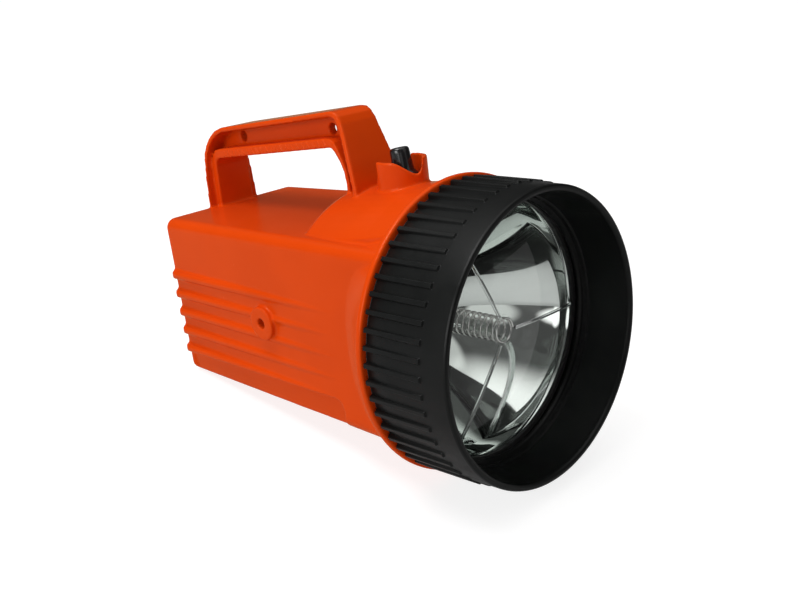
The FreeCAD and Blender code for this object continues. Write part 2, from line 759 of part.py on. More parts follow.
# ================= bulb and its holder =================
# three screws in a ring hold the socket to the contact board
SCREW_RING_RAD = 12.4
SCREW_CENTRES = [
    (SCREW_RING_RAD * math.cos(math.radians(a)), SCREW_RING_RAD * math.sin(math.radians(a)))
    for a in (90, 210, 330)]


def screw_rods(prefix, radius, length, setback, axis):
    """A rod at each screw centre."""
    return [
        rod("%s_%d" % (prefix, i), radius, length, (x, setback, z), axis)
        for i, (x, z) in enumerate(SCREW_CENTRES)]


def bulb_base():
    return turned("bulb_base", [
        (69.5, 3.3), (69.5, 6.3), (70.5, 6.3), (70.5, 4.6), (81.0, 4.6), (82.0, 3.8),
        (82.0, 1.75), (80.9, 1.75), (80.9, 4.1), (70.5, 4.1), (70.5, 3.3)])


def bulb_glass():
    return turned("bulb_glass", [
        # outside, front to back
        (50.4, 0), (50.45, 0.9), (50.9, 1.9), (51.8, 2.9), (53.0, 3.6), (54.4, 3.9),
        (66.5, 3.9), (68.2, 3.55), (69.6, 3.2), (76.0, 3.2), (76.0, 0),
        # inside, back to front
        (75.2, 0), (75.2, 2.7), (69.4, 2.7), (68.0, 3.0), (66.3, 3.4), (54.6, 3.4),
        (53.4, 3.1), (52.3, 2.5), (51.5, 1.6), (51.1, 0.7), (51.05, 0)])


def bulb_tip_contact():
    return turned("bulb_tip_contact", [
        (80.3, 0), (80.3, 1.7), (82.0, 1.7), (82.9, 1.1), (83.2, 0)])


def bulb_filament():
    """Two leads, the coil across their front ends and the bead across their rear."""
    return fuse("bulb_filament", [
        rod("lead_a", 0.2, 17.6, (-1.4, 75.15, 0), FORWARD),
        rod("lead_b", 0.2, 17.6, (1.4, 75.15, 0), FORWARD),
        rod("coil", 0.32, 3.2, (-1.6, 57.7, 0), RIGHT),
        rod("bead", 0.5, 3.6, (-1.8, 70.5, 0), RIGHT)])


def bulb_socket():
    front = reflector_neck_end + 0.1
    body = turned("bulb_socket", [
        (70.6, 4.75), (70.6, 7.7), (front, 7.7), (front, 15.0), (84.9, 15.0), (84.9, 2.6),
        (83.4, 2.6), (83.4, 4.75)])
    body.Label = "socket_turned"  # leaves the piece's label to the drilled socket
    bores = fuse("socket_bores", screw_rods("sb", 1.15, 4.0, 81.4, BACK))
    return cut("bulb_socket", body, bores)


def ejector_spring():
    return coil(
        "ejector_spring", ejector_mean_rad, ejector_wire_rad, ejector_pitch, 46.2,
        (0, 22.6, 0), BACK)


# ================= contact board =================
BOARD_FRONT, BOARD_BACK = 85.0, 87.0
CONTACT_FRONT, CONTACT_BACK = 87.05, 87.55  # contact metal on the board's back face
SCREW_HEAD_FRONT = 87.1


def contact_board():
    disc = turned("board_disc", [
        (BOARD_FRONT, 4.2), (BOARD_FRONT, 36.0), (BOARD_BACK, 36.0), (BOARD_BACK, 4.2)])
    holes = fuse("board_holes", screw_rods("bhole", 1.25, 6.0, 83.0, BACK))
    return cut("contact_board", disc, holes)


def ring_contact():
    return turned("ring_contact", [
        (CONTACT_FRONT, 30.5), (CONTACT_FRONT, 35.6), (CONTACT_BACK, 35.6),
        (CONTACT_BACK, 30.5)])


def centre_contact():
    return turned("centre_contact", [
        (83.45, 0), (83.45, 2.4), (85.3, 2.4), (85.3, 3.9), (CONTACT_FRONT, 3.9),
        (CONTACT_FRONT, 6.0), (CONTACT_BACK, 6.0), (CONTACT_BACK, 0)])


def board_screws():
    shanks = screw_rods("shank", 1.1, 4.0, SCREW_HEAD_FRONT, FORWARD)
    heads = screw_rods("head", 2.1, 1.1, SCREW_HEAD_FRONT, BACK)
    return compound("board_screws", [
        fuse("board_screw_%d" % i, list(pair)) for i, pair in enumerate(zip(shanks, heads))])


# ================= battery =================
half_battery = battery_width * 0.5
battery_back = battery_front + battery_length
skirt_half = half_battery - 0.85  # cover and base skirts fit inside the jacket
BATTERY_CORNER = 7.0
BATTERY_INNER_CORNER = 6.2
CELL_RAD = 16.0
CELL_LENGTH = 91.0
CELL_OFFSET = 16.2  # cell centre from the battery's middle, both ways


def battery_jacket():
    """Square tube, open at both ends."""
    solid = soft_square(
        "jacket_solid", half_battery, battery_front + 2.0, battery_back - 1.5, BATTERY_CORNER)
    hole = soft_square(
        "jacket_hole", half_battery - 0.8, battery_front + 1.0, battery_back,
        BATTERY_INNER_CORNER)
    return cut("battery_jacket", solid, hole)


def battery_cells():
    quarters = ((-1, -1), (1, -1), (1, 1), (-1, 1))
    return compound("battery_cells", [
        rod("cell_%d" % i, CELL_RAD, CELL_LENGTH,
            (x * CELL_OFFSET, battery_front + 4.5, z * CELL_OFFSET), BACK)
        for i, (x, z) in enumerate(quarters)])


def battery_cover():
    joint = battery_front + 1.95
    return fuse("battery_cover", [
        soft_square("cover_solid", half_battery, battery_front, joint, BATTERY_CORNER),
        soft_square(
            "cover_skirt", skirt_half, joint, battery_front + 4.2, BATTERY_INNER_CORNER)])


def battery_base():
    joint = battery_back - 1.45
    return fuse("battery_base", [
        soft_square("base_outer", half_battery, joint, battery_back, BATTERY_CORNER),
        soft_square(
            "base_inner", skirt_half, battery_back - 4.0, joint, BATTERY_INNER_CORNER)])


def battery_pad():
    """Pad between the battery and the housing's rear wall."""
    return soft_square(
        "battery_pad", 30.0, battery_back + 0.05, box_back - wall - 0.05, 8.0)


def battery_springs():
    """One spring at the middle and one towards the lower right corner."""
    return compound("battery_springs", [
        coil(label, ejector_mean_rad, ejector_wire_rad, 2.7, 8.1,
             (x, battery_front - 0.6, z), FORWARD)
        for label, x, z in (("spring_c", 0, 0), ("spring_k", 23.4, -23.4))])


# ================= switch =================
CASE_HALF_WIDTH = 7.0
CASE_HALF_DEPTH = 9.5
CASE_BOTTOM, CASE_TOP = 38.5, 53.0
CASE_WALL = 1.8
BUSHING_BORE_RAD = 2.75
TERMINAL_OFFSETS = (-6.2, 0.0, 6.2)  # along the case, from the pivot
ROCKER_HEIGHT = 44.6
TOGGLE_LEAN = -8.0  # degrees; lever and boot both lean back at rest
ROCKER_TILT = 12.0
switch_place = (0, toggle_pivot_setback, 0)
toggle_place = (0, toggle_pivot_setback, toggle_pivot_height)


def switch_block(label, half_width, half_depth, heights, offset=0.0):
    """Block centred on the pivot, or set back from it by offset."""
    centre = toggle_pivot_setback + offset
    return block(
        label, (-half_width, half_width), (centre - half_depth, centre + half_depth), heights)


def pivot_rod(label, radius, length, height):
    """Rod across the switch at the pivot's setback."""
    return rod(label, radius, length, (-length / 2, toggle_pivot_setback, height), RIGHT)


def switch_body():
    outer = switch_block("sw_outer", CASE_HALF_WIDTH, CASE_HALF_DEPTH, (CASE_BOTTOM, CASE_TOP))
    inner = switch_block(
        "sw_inner", CASE_HALF_WIDTH - CASE_WALL, CASE_HALF_DEPTH - CASE_WALL,
        (CASE_BOTTOM + CASE_WALL, CASE_TOP - CASE_WALL))
    bore = rod("sw_bore", BUSHING_BORE_RAD, 5.0, (0, toggle_pivot_setback, 50.0), UP)
    slots = fuse("sw_slots", [
        switch_block("slot_%d" % i, 1.6, 0.35, (38.0, 41.0), offset)
        for i, offset in enumerate(TERMINAL_OFFSETS)])
    return cut("switch_body", outer, fuse("sw_void", [inner, bore, slots]))


def switch_bushing():
    body = turned_up("bushing_turned", [
        (BUSHING_BORE_RAD, 53.05), (4.6, 53.05), (4.6, 53.9), (3.95, 53.9), (3.95, 59.2),
        (3.6, 59.6), (BUSHING_BORE_RAD, 59.6)], switch_place)
    return cut("switch_bushing", body, pivot_rod("pin_hole", 0.62, 12.0, toggle_pivot_height))


def switch_washer():
    return turned_up("switch_washer", [
        (4.0, 57.45), (6.0, 57.45), (6.0, 57.95), (4.0, 57.95)], switch_place)


def switch_nut():
    hexagon = labelled("Part::Prism", "nut_hex", Circumradius=5.6, Height=1.5)
    hexagon.Polygon = 6
    seat(hexagon, (0, toggle_pivot_setback, 58.0))
    hole = rod("nut_hole", 4.0, 4.0, (0, toggle_pivot_setback, 57.0), UP)
    return cut("switch_nut", hexagon, hole)


def switch_terminals():
    """Three blades; the middle one stands taller."""
    return compound("switch_terminals", [
        switch_block("term_%d" % i, 1.5, 0.3, (35.2, 43.4 if offset == 0 else 41.6), offset)
        for i, offset in enumerate(TERMINAL_OFFSETS)])


def toggle_pivot():
    return spot(0, toggle_pivot_setback.value, toggle_pivot_height.value)


def toggle_lever():
    body = turned_up("lever_turned", [
        # tail and pivot ball
        (0, -6.2), (0.7, -6.2), (1.05, -5.7), (1.05, -2.4), (1.6, -2.15), (2.2, -1.55),
        (2.6, -0.7), (2.69, 0), (2.6, 0.7), (2.2, 1.55), (1.6, 2.15), (1.35, 2.4),
        # stem
        (1.35, 4.0), (2.15, 13.0), (1.8, 13.8), (0.9, 14.2), (0, 14.25)], toggle_place)
    pin = pivot_rod("lever_pin", 0.57, 7.0, toggle_pivot_height)
    lever = fuse("lever_with_pin", [body, pin])
    return leaned("toggle_lever", lever, toggle_pivot(), TOGGLE_LEAN)


def toggle_boot():
    body = turned_up("boot_turned", [
        # outside, going up
        (6.7, 2.3), (6.5, 3.25), (6.0, 4.2), (5.3, 5.05), (4.75, 5.7), (4.55, 6.6),
        (4.42, 8.2), (4.22, 13.4), (4.1, 14.9), (3.5, 15.6), (2.4, 15.85), (0, 15.9),
        # inside, going down
        (0, 14.35), (0.95, 14.3), (1.9, 13.9), (2.28, 13.05), (1.5, 4.25), (3.2, 5.1),
        (4.5, 4.2), (5.2, 3.2), (5.7, 2.3)], toggle_place)
    return leaned("toggle_boot", body, toggle_pivot(), TOGGLE_LEAN)


def contact_rocker():
    plate = switch_block(
        "rocker_plate", 2.2, 6.9, (ROCKER_HEIGHT + 0.35, ROCKER_HEIGHT + 1.05))
    pin = pivot_rod("rocker_pin", 0.8, 7.0, ROCKER_HEIGHT)
    pivot = spot(0, toggle_pivot_setback.value, ROCKER_HEIGHT)
    return leaned("contact_rocker", fuse("rocker_flat", [plate, pin]), pivot, ROCKER_TILT)


# ================= contact block, leaves and wires =================
WIRE_RAD = 0.75
# lead paths, (x, setback, height), from the switch back to the leaves
FRONT_LEAD = [
    (-2.7, 63.1, 37.0), (-4.6, 66.0, 36.6), (-8.6, 74.0, 36.6), (-8.4, 83.0, 39.5),
    (-5.6, 87.2, 43.2), (-5.2, 92.0, 44.5)]
REAR_LEAD = [
    (2.7, 75.5, 37.0), (4.8, 78.0, 36.8), (6.4, 83.0, 39.7), (5.6, 87.2, 43.2),
    (5.2, 92.0, 44.5)]


def contact_block():
    return fuse("contact_block", [
        block("block_arm", (-9.0, 9.0), (89.75, 99.3), (39.9, 43.6)),
        block("block_foot", (-9.0, 9.0), (89.75, 94.0), (34.4, 40.0))])


def leaf_contacts():
    outline = [
        (89.7, 43.0), (89.7, 34.0), (88.2, 31.3), (88.0, 30.6), (87.65, 30.75),
        (87.75, 31.5), (89.2, 34.15), (89.2, 43.0)]
    return compound("leaf_contacts", [
        padded("leaf_%d" % sign, "YZ_Plane", outline, 3.0, (sign * 5.2, 0, 0))
        for sign in (-1, 1)])


def wire(stations):
    """Insulated lead along a smooth path through the stations."""
    points = [spot(*station) for station in stations]
    curve = Part.BSplineCurve()
    curve.interpolate(Points=points)
    path = Part.Wire([curve.toShape()])
    tangent = curve.tangent(curve.FirstParameter)[0]
    section = Part.Wire([Part.Circle(points[0], tangent, WIRE_RAD).toShape()])
    return path.makePipeShell([section], True, True)


def switch_wires():
    return free("switch_wires", Part.makeCompound([wire(FRONT_LEAD), wire(REAR_LEAD)]))


# ================= build and export =================
BUILDERS = (
    housing, bezel_ring, lens, lens_gasket, flange_seal, reflector,
    bulb_base, bulb_glass, bulb_tip_contact, bulb_filament, bulb_socket, ejector_spring,
    contact_board, ring_contact, centre_contact, board_screws,
    battery_jacket, battery_cells, battery_cover, battery_base, battery_pad, battery_springs,
    switch_body, switch_bushing, switch_washer, switch_nut, switch_terminals,
    toggle_lever, toggle_boot, contact_rocker,
    contact_block, leaf_contacts, switch_wires)

pieces = [build() for build in BUILDERS]
doc.recompute()

failed = [obj.Name for obj in doc.Objects if "Invalid" in obj.State or "Error" in obj.State]
if failed:
    raise RuntimeError("failed objects: %s" % failed)
os.makedirs("parts", exist_ok=True)
for piece in pieces:
    shape = piece.Shape
    if shape.isNull() or not shape.isValid() or shape.Volume <= 0:
        raise RuntimeError("bad shape " + piece.Label)
    shape.exportStep("parts/%s.step" % piece.Label)
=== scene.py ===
"""Looks of a hand lantern: orange housing, black grip ring, clear lens over a chrome bowl.

The beam axis runs along Y, AXIS_Z above the origin, and the lantern faces -Y. Outlines are
in millimetres: setback behind the front rim (towards +Y) and radius or height from the axis.
The floor is tilted about X and rises towards the back.
"""
import math

import bmesh
import bpy
import numpy as np
from mathutils import Matrix, Vector

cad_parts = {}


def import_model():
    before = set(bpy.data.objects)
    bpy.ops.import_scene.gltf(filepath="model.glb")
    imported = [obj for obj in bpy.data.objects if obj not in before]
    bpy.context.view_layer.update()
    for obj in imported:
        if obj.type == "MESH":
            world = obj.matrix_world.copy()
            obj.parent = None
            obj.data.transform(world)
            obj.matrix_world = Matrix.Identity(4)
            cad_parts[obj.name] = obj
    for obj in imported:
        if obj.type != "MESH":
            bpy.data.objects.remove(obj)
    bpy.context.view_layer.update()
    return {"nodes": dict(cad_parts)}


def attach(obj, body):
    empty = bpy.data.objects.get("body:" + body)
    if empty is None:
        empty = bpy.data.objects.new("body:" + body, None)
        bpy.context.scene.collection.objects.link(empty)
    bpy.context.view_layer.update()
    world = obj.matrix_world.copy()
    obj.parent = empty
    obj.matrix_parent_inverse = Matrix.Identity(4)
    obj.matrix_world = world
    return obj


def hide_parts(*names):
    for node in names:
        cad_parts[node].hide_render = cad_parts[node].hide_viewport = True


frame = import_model()
NODES = frame["nodes"]
SCENE = bpy.context.scene
MM = 0.001
FRONT_Y = -135.0    # front rim, mm
AXIS_Z = 39.0       # beam axis, mm


def place(x, setback, height):
    """Point in metres from x, setback behind the front rim and height above the axis, in mm."""
    return Vector((x * MM, (setback + FRONT_Y) * MM, (height + AXIS_Z) * MM))


# ------------------------------------------------------------------ shader graph
class Graph:
    """One cleared node tree with its output; every input takes either a socket or a value."""

    def __init__(self, owner, output, coords):
        owner.use_nodes = True
        self.tree = owner.node_tree
        self.tree.nodes.clear()
        self.output = self.node(output)
        self.coords = self.node("ShaderNodeTexCoord").outputs[coords]

    def feed(self, socket, value):
        if isinstance(value, bpy.types.NodeSocket):
            self.tree.links.new(value, socket)
        elif socket.type == "RGBA":
            socket.default_value = (*value, 1.0)
        else:
            socket.default_value = value

    def node(self, kind, inputs=None, **settings):
        made = self.tree.nodes.new(kind)
        for name, value in settings.items():
            setattr(made, name, value)
        for socket, value in (inputs or {}).items():
            self.feed(made.inputs[socket], value)
        return made

    def finish(self, shader):
        self.feed(self.output.inputs[0], shader)

    def noise(self, scale, detail, rough=0.5, at=None):
        vector = self.coords if at is None else at
        inputs = {"Scale": scale, "Detail": detail, "Roughness": rough, "Vector": vector}
        return self.node("ShaderNodeTexNoise", inputs).outputs["Fac"]

    def remap(self, value, source=(0.0, 1.0), to=(0.0, 1.0), smooth=False):
        inputs = {"Value": value, "From Min": source[0], "From Max": source[1],
                  "To Min": to[0], "To Max": to[1]}
        kind = "SMOOTHSTEP" if smooth else "LINEAR"
        return self.node("ShaderNodeMapRange", inputs, interpolation_type=kind).outputs["Result"]

    def math(self, operation, a, b, clamp=False):
        made = self.node("ShaderNodeMath", {0: a, 1: b}, operation=operation, use_clamp=clamp)
        return made.outputs[0]

    def mapping(self, **inputs):
        return self.node("ShaderNodeMapping", {"Vector": self.coords, **inputs}).outputs[0]

    def mix_color(self, factor, a, b):
        return self.node("ShaderNodeMix", {0: factor, 6: a, 7: b}, data_type="RGBA").outputs[2]

    def mix_shader(self, factor, a, b):
        return self.node("ShaderNodeMixShader", {0: factor, 1: a, 2: b}).outputs[0]

    def mottle(self, a, b, scale, band, detail=2.0, smooth=False):
        """Colour drifting from a to b as the noise crosses the band."""
        drift = self.remap(self.noise(scale, detail), source=band, smooth=smooth)
        return self.mix_color(drift, a, b)

    def bump(self, height, strength, distance):
        return self.node("ShaderNodeBump",
                         {"Strength": strength, "Distance": distance, "Height": height})


def new_material(name):
    material = bpy.data.materials.new(name)
    return material, Graph(material, "ShaderNodeOutputMaterial", "Object")


def surface(name, base, rough, tint_scale, bump, bump_scale, tint=None, metallic=0.0,
            rough_var=0.06, bump_dist=0.0002, swell=None, stretch=None, bevel=0.0, spec=0.5,
            sheen=0.0, scratches=0.0, painted_edge_highlight=None, gloss_tint=None):
    """Opaque finish with drifting colour, uneven gloss and fine relief.

    tint is the second colour, by default a darker base. swell is (strength, noise scale) of a
    broader relief, stretch scales the fine relief per axis, bevel rounds edges (m), scratches
    adds roughness in streaks, painted_edge_highlight is (colour, amount) of a painted highlight
    that lightens convex edges in patches and makes them rougher, and gloss_tint replaces the
    plain specular with a tinted one.
    """
    material, g = new_material(name)
    shader = g.node("ShaderNodeBsdfPrincipled", {
        "Metallic": metallic,
        "Specular IOR Level": 0.0 if gloss_tint else spec,
        "Sheen Weight": sheen})
    fine_coords = g.mapping(Scale=stretch) if stretch else g.coords
    if tint is None:
        tint = tuple(c * 0.86 for c in base)
    color = g.mottle(base, tint, tint_scale, band=(0.35, 0.65), smooth=True)
    height = g.noise(bump_scale, detail=3.0, rough=0.55, at=fine_coords)
    gloss = g.remap(g.noise(tint_scale * 3.1, detail=4.0, rough=0.6),
                    source=(0.3, 0.7), to=(rough - rough_var, rough + rough_var))
    if scratches:
        streaks = g.mapping(Scale=(40.0, 900.0, 260.0), Rotation=(0.4, 0.3, 0.5))
        lines = g.remap(g.noise(scale=1.0, detail=2.0, at=streaks),
                        source=(0.66, 0.74), smooth=True)
        gloss = g.math("ADD", gloss, g.math("MULTIPLY", lines, scratches))
    # painted highlight: convex edges, picked out by pointiness, are lightened in patches towards
    # the highlight colour and made a little rougher
    if painted_edge_highlight:
        edge_highlight_color, edge_highlight_amount = painted_edge_highlight
        pointiness = g.node("ShaderNodeNewGeometry").outputs["Pointiness"]
        edge = g.remap(pointiness, source=(0.52, 0.60), smooth=True)
        patches = g.remap(g.noise(scale=180.0, detail=5.0, rough=0.7),
                          source=(0.45, 0.6), smooth=True)
        edge = g.math("MULTIPLY", edge, patches)
        color = g.mix_color(g.math("MULTIPLY", edge, edge_highlight_amount), color, edge_highlight_color)
        edge_roughness = 0.15
        gloss = g.math("ADD", gloss, g.math("MULTIPLY", edge, edge_roughness))
    if swell:
        swell_strength, swell_scale = swell
        broad = g.noise(swell_scale, detail=2.0)
        height = g.math("ADD", g.math("MULTIPLY", height, 1.0),
                        g.math("MULTIPLY", broad, swell_strength))
    relief = g.bump(height, strength=bump, distance=bump_dist)
    if bevel:
        rounded = g.node("ShaderNodeBevel", {"Radius": bevel}, samples=4)
        g.feed(relief.inputs["Normal"], rounded.outputs[0])
    normal = relief.outputs[0]
    for socket, value in (("Base Color", color), ("Roughness", gloss), ("Normal", normal)):
        g.feed(shader.inputs[socket], value)
    result = shader.outputs[0]
    if gloss_tint:
        # pigmented plastic: the mirror part of the gloss is tinted at every angle
        fresnel = g.node("ShaderNodeFresnel", {"IOR": 1.30, "Normal": normal})
        mirror = g.node("ShaderNodeBsdfGlossy",
                        {"Color": gloss_tint, "Normal": normal, "Roughness": gloss})
        result = g.mix_shader(fresnel.outputs[0], result, mirror.outputs[0])
    g.finish(result)
    return material


def chrome(name):
    """Bright metal coat with a slight waviness."""
    material, g = new_material(name)
    color = g.mottle((0.84, 0.89, 0.86), (0.77, 0.825, 0.79), scale=30.0, band=(0.35, 0.65))
    gloss = g.remap(g.noise(scale=90.0, detail=4.0, rough=0.6),
                    source=(0.3, 0.75), to=(0.015, 0.06))
    waves = g.bump(g.noise(scale=38.0, detail=1.0, rough=0.4), strength=0.02, distance=0.0004)
    g.finish(g.node("ShaderNodeBsdfPrincipled", {
        "Metallic": 1.0, "Base Color": color, "Roughness": gloss,
        "Normal": waves.outputs[0]}).outputs[0])
    return material


def thin_clear(name, tint, reflection):
    """Clear sheet that doesn't bend light: tinted see-through plus an outer reflection."""
    material, g = new_material(name)
    lighter = tuple(min(1.0, c * 1.02) for c in tint)
    through = g.node("ShaderNodeBsdfTransparent",
                     {0: g.mottle(tint, lighter, scale=25.0, band=(0.3, 0.7))})
    swirl = g.bump(g.noise(scale=60.0, detail=2.0), strength=0.03, distance=0.0003).outputs[0]
    mirror = g.node("ShaderNodeBsdfGlossy", {"Roughness": 0.0, "Normal": swirl})
    fresnel = g.node("ShaderNodeFresnel", {"IOR": 1.49, "Normal": swirl}).outputs[0]
    backfacing = g.node("ShaderNodeNewGeometry").outputs["Backfacing"]
    outer = g.math("SUBTRACT", 1.0, backfacing)
    factor = g.math("MULTIPLY", g.math("MULTIPLY", fresnel, reflection, clamp=True), outer)
    g.finish(g.mix_shader(factor, through.outputs[0], mirror.outputs[0]))
    return material


def refracting_clear(name, tint):
    """Clear plastic that bends light."""
    material, g = new_material(name)
    darker = tuple(c * 0.985 for c in tint)
    g.finish(g.node("ShaderNodeBsdfPrincipled", {
        "Base Color": g.mottle(tint, darker, scale=80.0, band=(0.3, 0.7)),
        "Roughness": g.remap(g.noise(scale=300.0, detail=3.0), to=(0.01, 0.03)),
        "Transmission Weight": 1.0,
        "IOR": 1.49}).outputs[0])
    return material


# ------------------------------------------------------------------ finishes
# painted highlight: convex edges of the orange shell are lightened to a brighter orange
ORANGE = surface(
    "orange_shell", base=(0.62, 0.050, 0.0018), tint=(0.59, 0.047, 0.0017), tint_scale=22.0,
    rough=0.23, rough_var=0.035, bump=0.035, bump_scale=1500.0, bump_dist=0.00012,
    swell=(3.0, 130.0), scratches=0.02, gloss_tint=(1.0, 0.62, 0.36),
    painted_edge_highlight=((0.72, 0.11, 0.03), 0.22))
# painted highlight: convex edges of the black bezel are lightened to dark grey
BLACK = surface(
    "black_bezel", base=(0.0028, 0.0033, 0.0032), tint=(0.0042, 0.0047, 0.0045),
    tint_scale=35.0, rough=0.38, bump=0.10, bump_scale=2600.0, bump_dist=0.0001,
    swell=(0.6, 300.0), scratches=0.08, spec=0.17, painted_edge_highlight=((0.03, 0.03, 0.03), 0.30))
BOOT = surface(
    "boot_gloss", base=(0.006, 0.006, 0.0065), tint=(0.011, 0.011, 0.012), tint_scale=160.0,
    rough=0.17, rough_var=0.05, bump=0.05, bump_scale=1900.0, bump_dist=0.0001,
    swell=(1.0, 400.0))
RUBBER = surface(
    "seal_rubber_grain", base=(0.014, 0.014, 0.014), tint_scale=120.0, rough=0.62, bump=0.2,
    bump_scale=2400.0, bump_dist=0.0001, sheen=0.1, bevel=0.0002)
STEEL = surface(
    "spring_wire_steel", base=(0.72, 0.72, 0.70), tint=(0.64, 0.64, 0.62), tint_scale=300.0,
    rough=0.10, metallic=1.0, bump=0.05, bump_scale=3000.0, bump_dist=0.00005,
    stretch=(1.0, 1.0, 1.0))
BRASS = surface(
    "brass_strip", base=(0.72, 0.50, 0.20), tint=(0.60, 0.40, 0.16), tint_scale=200.0,
    rough=0.26, metallic=1.0, bump=0.06, bump_scale=500.0, stretch=(1.0, 0.12, 1.0),
    bevel=0.0002)
NICKEL = surface(
    "nickel_plate", base=(0.70, 0.68, 0.63), tint=(0.60, 0.58, 0.54), tint_scale=240.0,
    rough=0.22, metallic=1.0, bump=0.05, bump_scale=900.0, bevel=0.0002)
TUNGSTEN = surface(
    "tungsten_wire", base=(0.30, 0.29, 0.28), tint_scale=900.0, rough=0.35, metallic=1.0,
    bump=0.1, bump_scale=5000.0)
BOARD = surface(
    "contact_board_phenolic", base=(0.035, 0.036, 0.038), tint=(0.06, 0.058, 0.052),
    tint_scale=90.0, rough=0.45, bump=0.08, bump_scale=700.0, stretch=(1.0, 1.0, 0.2),
    bevel=0.0002)
ZINC = surface(
    "zinc_can", base=(0.56, 0.57, 0.58), tint=(0.46, 0.47, 0.49), tint_scale=70.0, rough=0.34,
    metallic=1.0, bump=0.1, bump_scale=260.0, stretch=(1.0, 0.08, 1.0))
CARD = surface(
    "jacket_card", base=(0.075, 0.10, 0.16), tint=(0.06, 0.085, 0.14), tint_scale=40.0,
    rough=0.55, bump=0.12, bump_scale=800.0, stretch=(1.0, 0.35, 1.0), bevel=0.0003)
CAP = surface(
    "battery_cap_plastic", base=(0.022, 0.023, 0.026), tint_scale=50.0, rough=0.38, bump=0.06,
    bump_scale=1200.0, bevel=0.0004)
FOAM = surface(
    "foam_pad", base=(0.055, 0.056, 0.06), tint=(0.03, 0.03, 0.033), tint_scale=300.0,
    rough=0.9, bump=0.6, bump_scale=900.0, bump_dist=0.0006, sheen=0.3)
SWITCH = surface(
    "switch_case", base=(0.020, 0.020, 0.022), tint_scale=120.0, rough=0.36, bump=0.05,
    bump_scale=1500.0, bevel=0.0003)
WIRE = surface(
    "wire_sleeve_red", base=(0.42, 0.018, 0.014), tint_scale=200.0, rough=0.34, bump=0.04,
    bump_scale=1500.0)
CHROME = chrome("reflector_chrome")
LENS = thin_clear("lens_clear_sheet", tint=(0.985, 0.992, 0.988), reflection=0.9)
LENS_RIB = refracting_clear("lens_clear_rib", tint=(0.97, 0.985, 0.98))
BULB = thin_clear("bulb_glass_clear", tint=(0.96, 0.965, 0.96), reflection=1.3)

# CAD nodes that keep their own mesh
CAD_FINISH = {
    "lens_gasket": RUBBER, "flange_seal": RUBBER,
    "bulb_base": BRASS, "bulb_glass": BULB, "bulb_tip_contact": NICKEL,
    "bulb_filament": TUNGSTEN, "bulb_socket": BOARD,
    "contact_board": BOARD, "ring_contact": BRASS, "centre_contact": BRASS,
    "board_screws": NICKEL,
    "battery_jacket": CARD, "battery_cells": ZINC, "battery_cover": CAP,
    "battery_base": CAP, "battery_pad": FOAM, "battery_springs": STEEL,
    "switch_body": SWITCH, "switch_bushing": NICKEL, "switch_washer": NICKEL,
    "switch_nut": NICKEL, "switch_terminals": BRASS, "toggle_lever": NICKEL,
    "contact_rocker": BRASS, "contact_block": BOARD, "leaf_contacts": BRASS,
    "switch_wires": WIRE,
}


# ------------------------------------------------------------------ mesh helpers
def set_material(obj, material):
    obj.data.materials.clear()
    obj.data.materials.append(material)


def add_object(name, mesh):
    obj = bpy.data.objects.new(name, mesh)
    SCENE.collection.objects.link(obj)
    return obj


def make_object(name, verts, faces, material, sharp):
    """Cleaned, smooth-shaded object with edges sharper than sharp degrees kept crisp."""
    mesh = bpy.data.meshes.new(name)
    mesh.from_pydata([tuple(v) for v in verts], [], faces)
    mesh.update()
    obj = add_object(name, mesh)
    bm = bmesh.new()
    bm.from_mesh(mesh)
    bmesh.ops.remove_doubles(bm, verts=bm.verts, dist=2e-7)
    bmesh.ops.dissolve_degenerate(bm, edges=bm.edges, dist=1e-8)
    bmesh.ops.recalc_face_normals(bm, faces=bm.faces)
    bm.to_mesh(mesh)
    bm.free()
    mesh.shade_smooth()
    mesh.set_sharp_from_angle(angle=math.radians(sharp))
    set_material(obj, material)
    return obj


def register(obj, ride, replaces=None):
    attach(obj, ride)
    if replaces:
        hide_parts(replaces)


def grid_faces(rows, cols, first=0, closed=True):
    """Quads between rings of cols points; the last ring meets the first, or both are capped."""
    faces = []
    for i in range(rows if closed else rows - 1):
        here, there = first + i * cols, first + (i + 1) % rows * cols
        for j in range(cols):
            k = (j + 1) % cols
            faces.append((here + j, here + k, there + k, there + j))
    if not closed:
        faces.append(tuple(first + j for j in reversed(range(cols))))
        faces.append(tuple(first + (rows - 1) * cols + j for j in range(cols)))
    return faces


def axis_ring(setback, radius, angles):
    """Points about the beam axis in metres; radius is one number or one per angle."""
    return np.stack([radius * np.sin(angles), np.full(len(angles), setback + FRONT_Y),
                     radius * np.cos(angles) + AXIS_Z], 1) * MM


def lathe(name, profile, segments, material, sharp=30):
    """Closed profile of (setback, radius) turned about the beam axis."""
    angles = np.linspace(0, 2 * math.pi, segments, endpoint=False)
    verts = np.concatenate([axis_ring(s, r, angles) for s, r in profile])
    return make_object(name, verts, grid_faces(len(profile), segments), material, sharp)


def line(x, start, end):
    """Height at x of the straight line through two (x, height) points."""
    return start[1] + (end[1] - start[1]) * (x - start[0]) / (end[0] - start[0])


def smoothstep(x):
    return x * x * (3 - 2 * x)


def round_corners(corners, steps):
    """Closed outline from (setback, radius, rounding) corners, rounded with short arcs."""
    points = [np.array(c[:2], float) for c in corners]
    outline = []
    for i, (*_, rounding) in enumerate(corners):
        corner = points[i]
        if rounding == 0:
            outline.append(tuple(corner))
            continue
        before = points[i - 1] - corner
        after = points[(i + 1) % len(points)] - corner
        before_len, after_len = np.linalg.norm(before), np.linalg.norm(after)
        before, after = before / before_len, after / after_len
        angle = math.acos(float(before @ after))
        # an arc takes at most 45% of either side
        reach = min(rounding / math.tan(angle / 2), before_len * 0.45, after_len * 0.45)
        start, end = corner + before * reach, corner + after * reach
        for k in range(steps + 1):
            t = k / steps
            outline.append(tuple((1 - t) ** 2 * start + 2 * t * (1 - t) * corner + t * t * end))
    return outline


